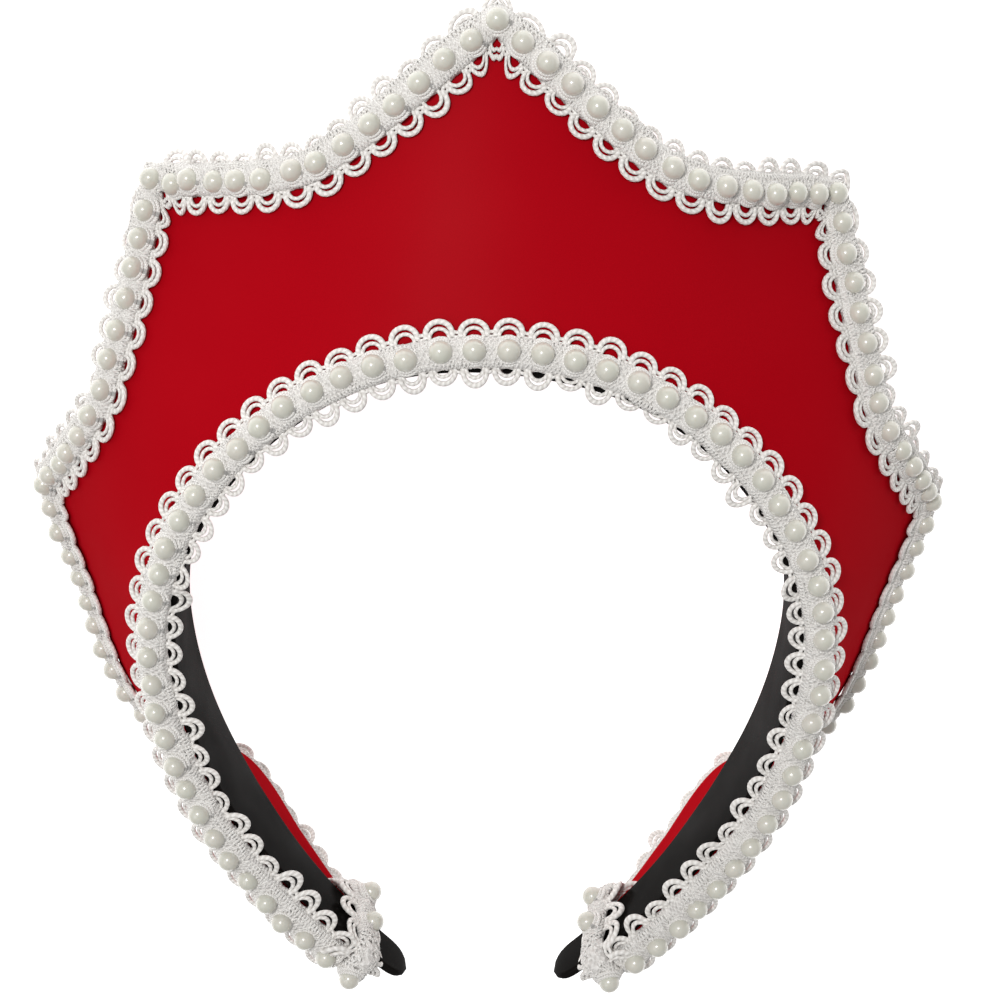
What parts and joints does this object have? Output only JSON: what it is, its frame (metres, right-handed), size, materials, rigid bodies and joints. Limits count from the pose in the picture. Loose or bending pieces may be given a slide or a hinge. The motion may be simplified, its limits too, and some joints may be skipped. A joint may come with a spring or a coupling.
{
  "type": "star-point tiara headband",
  "caption": "Stiff satin crown panel with star points on a covered hairband, both edges finished with pearl-beaded lace trim.",
  "frame": {"origin": "middle of the footprint on the surface that the tiara lies on", "axes": "+X to the wearer's left, +Y towards the crown's top point, +Z out of the front, with the tiara on its back"},
  "size_m": [0.21, 0.2214, 0.0571],
  "materials": {
    "black_cover": "smooth black covered plastic band with a soft sheen",
    "red_satin": "deep red satin stretched over a stiff board",
    "ivory_lace": "ivory corded lace with shiny thread and round pearl beads"
  },
  "bodies": {
    "root": {"hairband": "black_cover", "crown_panel": "red_satin", "inner_lace_trim": "ivory_lace", "outer_lace_trim": "ivory_lace"}
  },
  "joints": []
}
